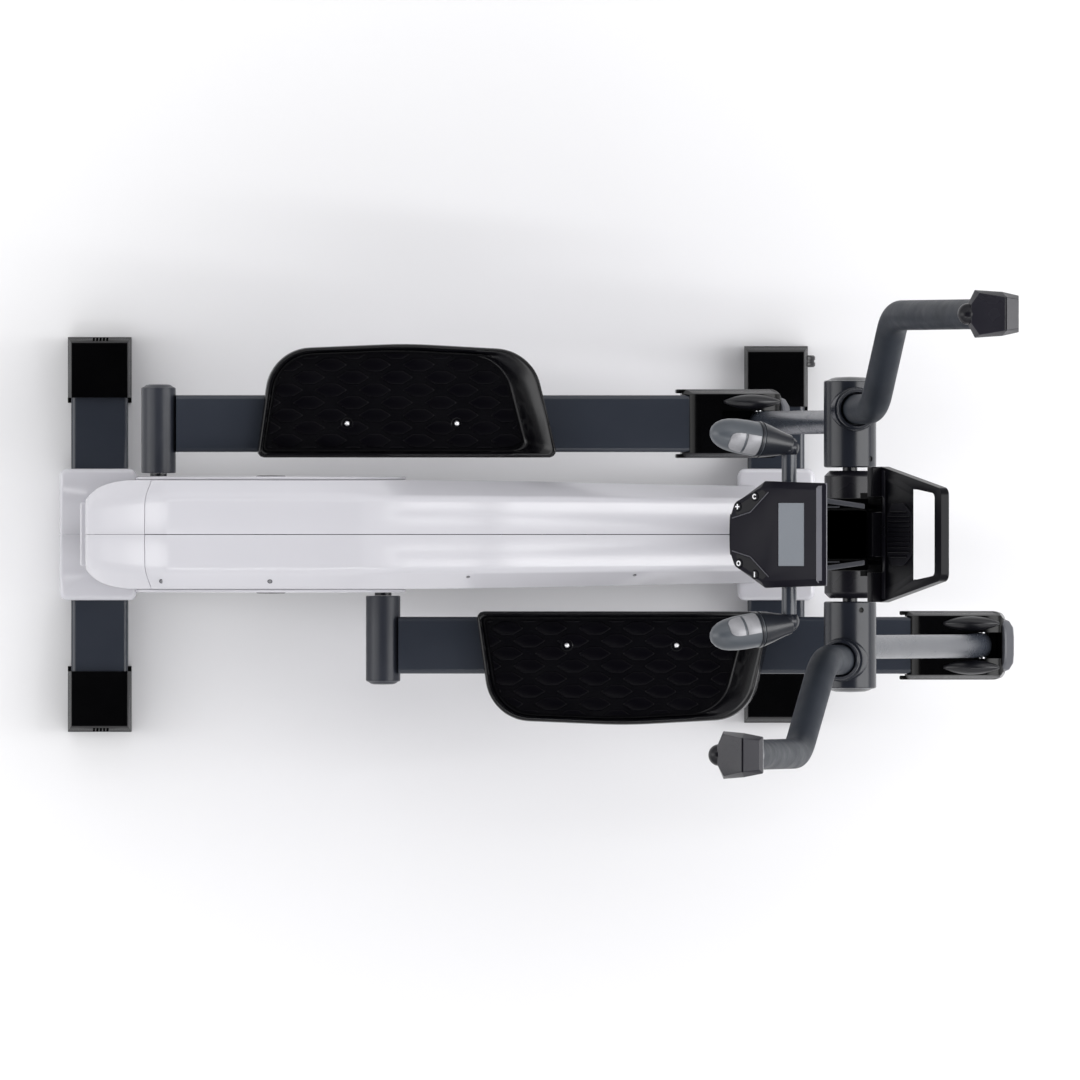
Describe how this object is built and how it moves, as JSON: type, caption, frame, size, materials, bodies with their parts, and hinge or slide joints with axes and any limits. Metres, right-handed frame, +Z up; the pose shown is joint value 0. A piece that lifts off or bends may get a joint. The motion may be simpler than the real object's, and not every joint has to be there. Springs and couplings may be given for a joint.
{
  "type": "elliptical cross trainer",
  "caption": "Rear-drive elliptical cross trainer with swing arms, pedal bars, fixed pulse bar, console, tablet rest and magnetic brake.",
  "frame": {"origin": "on the floor, in the middle of the machine's bounding box", "axes": "+X forwards from the crank to the console, +Y to the rider's left, +Z up"},
  "size_m": [1.3063, 0.6548, 1.6261],
  "materials": {
    "casing": "satin-gloss pale cool grey moulded shell",
    "frame_paint": "satin anthracite powder coat",
    "cap_plastic": "satin black moulded plastic",
    "roller_plastic": "hard black roller plastic",
    "black_steel": "satin black enamelled steel",
    "bright_steel": "turned steel",
    "pedal_plastic": "fine-grained black moulded plastic",
    "sleeve_plastic": "satin black-grey moulded cover",
    "arm_paint": "metallic mid-grey paint",
    "grip_foam": "smooth closed-cell foam over a steel tube",
    "knob_plastic": "satin black soft-touch plastic",
    "pulse_grip": "dark grey moulded grip",
    "sensor_plate": "brushed stainless contact plate",
    "head_plastic": "satin black moulded housing",
    "console_plastic": "satin violet-black moulded console",
    "display_lens": "grey display window",
    "rest_plastic": "satin black moulded plastic",
    "key_plastic": "gloss black key",
    "pulley_plastic": "black glass-filled pulley",
    "flywheel_iron": "turned cast iron",
    "belt_rubber": "ribbed rubber belt"
  },
  "bodies": {
    "frame": {"brake_magnet_carrier": "frame_paint", "casing_left": "casing", "casing_right": "casing", "console_body": "console_plastic", "console_lens": "display_lens", "crank_bearing_housing": "frame_paint", "drive_belt": "belt_rubber", "flywheel_axle": "frame_paint", "front_foot_cap_left": "cap_plastic", "front_foot_cap_right": "cap_plastic", "front_foot_tube": "frame_paint", "front_saddle_cover": "casing", "head_housing": "head_plastic", "main_beam": "frame_paint", "mast": "frame_paint", "pivot_axle": "black_steel", "pulse_bar": "frame_paint", "pulse_grip_left": "pulse_grip", "pulse_grip_right": "pulse_grip", "pulse_plate_front_left": "sensor_plate", "pulse_plate_front_right": "sensor_plate", "pulse_plate_rear_left": "sensor_plate", "pulse_plate_rear_right": "sensor_plate", "rear_foot_cap_left": "cap_plastic", "rear_foot_cap_right": "cap_plastic", "rear_foot_tube": "frame_paint", "rear_saddle_cover": "casing", "tail_cover": "casing"},
    "crank": {"crank_shaft": "bright_steel", "crank_disc_left": "casing", "crank_disc_right": "casing", "crank_pin_left": "black_steel", "crank_pin_right": "black_steel", "drive_pulley": "pulley_plastic"},
    "flywheel_rotor": {"flywheel": "flywheel_iron"},
    "rest": {"tablet_rest": "rest_plastic"},
    "left_arm": {"pivot_sleeve_left": "sleeve_plastic", "swing_tube_left": "arm_paint", "handlebar_left": "grip_foam", "handle_knob_left": "knob_plastic"},
    "left_bar": {"pedal_bar_left": "frame_paint", "crank_sleeve_left": "black_steel", "joint_bracket_left": "cap_plastic", "joint_pin_left": "bright_steel", "pedal_left": "pedal_plastic"},
    "left_roller": {"transport_roller_left": "roller_plastic"},
    "right_arm": {"pivot_sleeve_right": "sleeve_plastic", "swing_tube_right": "arm_paint", "handlebar_right": "grip_foam", "handle_knob_right": "knob_plastic"},
    "right_bar": {"pedal_bar_right": "frame_paint", "crank_sleeve_right": "black_steel", "joint_bracket_right": "cap_plastic", "joint_pin_right": "bright_steel", "pedal_right": "pedal_plastic"},
    "right_roller": {"transport_roller_right": "roller_plastic"},
    "key_up": {"button_up": "key_plastic"},
    "key_mode": {"button_mode": "key_plastic"},
    "key_reset": {"button_reset": "key_plastic"},
    "key_down": {"button_down": "key_plastic"}
  },
  "joints": [
    {"name": "crank_spin", "type": "hinge", "parent": "frame", "child": "crank", "pos_m": [-0.3618, 0, 0.28], "axis": [0, 1, 0], "continuous": true},
    {"name": "flywheel_spin", "type": "hinge", "parent": "frame", "child": "flywheel_rotor", "pos_m": [-0.02, 0, 0.245], "axis": [0, 1, 0], "continuous": true},
    {"name": "left_arm_swing", "type": "hinge", "parent": "frame", "child": "left_arm", "pos_m": [0.4264, 0.15, 0.901], "axis": [0, -1, 0], "range_deg": [-0.8, 28.4]},
    {"name": "right_arm_swing", "type": "hinge", "parent": "frame", "child": "right_arm", "pos_m": [0.4264, -0.15, 0.901], "axis": [0, -1, 0], "range_deg": [-28.4, 0.8]},
    {"name": "left_bar_swing", "type": "hinge", "parent": "left_arm", "child": "left_bar", "pos_m": [0.30255, 0.151, 0.2731], "axis": [0, -1, 0], "range_deg": [-18.3, 0.6]},
    {"name": "right_bar_swing", "type": "hinge", "parent": "right_arm", "child": "right_bar", "pos_m": [0.60719, -0.151, 0.28707], "axis": [0, -1, 0], "range_deg": [-0.6, 18.3]},
    {"name": "left_roller_spin", "type": "hinge", "parent": "frame", "child": "left_roller", "pos_m": [0.361, 0.237, 0.022], "axis": [0, 1, 0], "continuous": true},
    {"name": "right_roller_spin", "type": "hinge", "parent": "frame", "child": "right_roller", "pos_m": [0.361, -0.237, 0.022], "axis": [0, 1, 0], "continuous": true},
    {"name": "tablet_rest_tilt", "type": "hinge", "parent": "frame", "child": "rest", "pos_m": [0.471, 0, 1.127], "axis": [0, -1, 0], "range_deg": [0, 25]},
    {"name": "up_key_press", "type": "slide", "parent": "frame", "child": "key_up", "axis": [0.6428, 0, -0.766], "range_m": [0, 0.001], "stiffness_N_per_m": 400, "springref_m": -0.0004},
    {"name": "mode_key_press", "type": "slide", "parent": "frame", "child": "key_mode", "axis": [0.6428, 0, -0.766], "range_m": [0, 0.001], "stiffness_N_per_m": 400, "springref_m": -0.0004},
    {"name": "reset_key_press", "type": "slide", "parent": "frame", "child": "key_reset", "axis": [0.6428, 0, -0.766], "range_m": [0, 0.001], "stiffness_N_per_m": 400, "springref_m": -0.0004},
    {"name": "down_key_press", "type": "slide", "parent": "frame", "child": "key_down", "axis": [0.6428, 0, -0.766], "range_m": [0, 0.001], "stiffness_N_per_m": 400, "springref_m": -0.0004}
  ],
  "couplings": [
    {"joint": "flywheel_spin", "follows": "crank_spin", "ratio": 8.6667},
    {"joint": "right_arm_swing", "follows": "left_arm_swing", "ratio": -1},
    {"joint": "left_bar_swing", "follows": "left_arm_swing", "ratio": -0.6426},
    {"joint": "right_bar_swing", "follows": "left_arm_swing", "ratio": 0.6426}
  ]
}
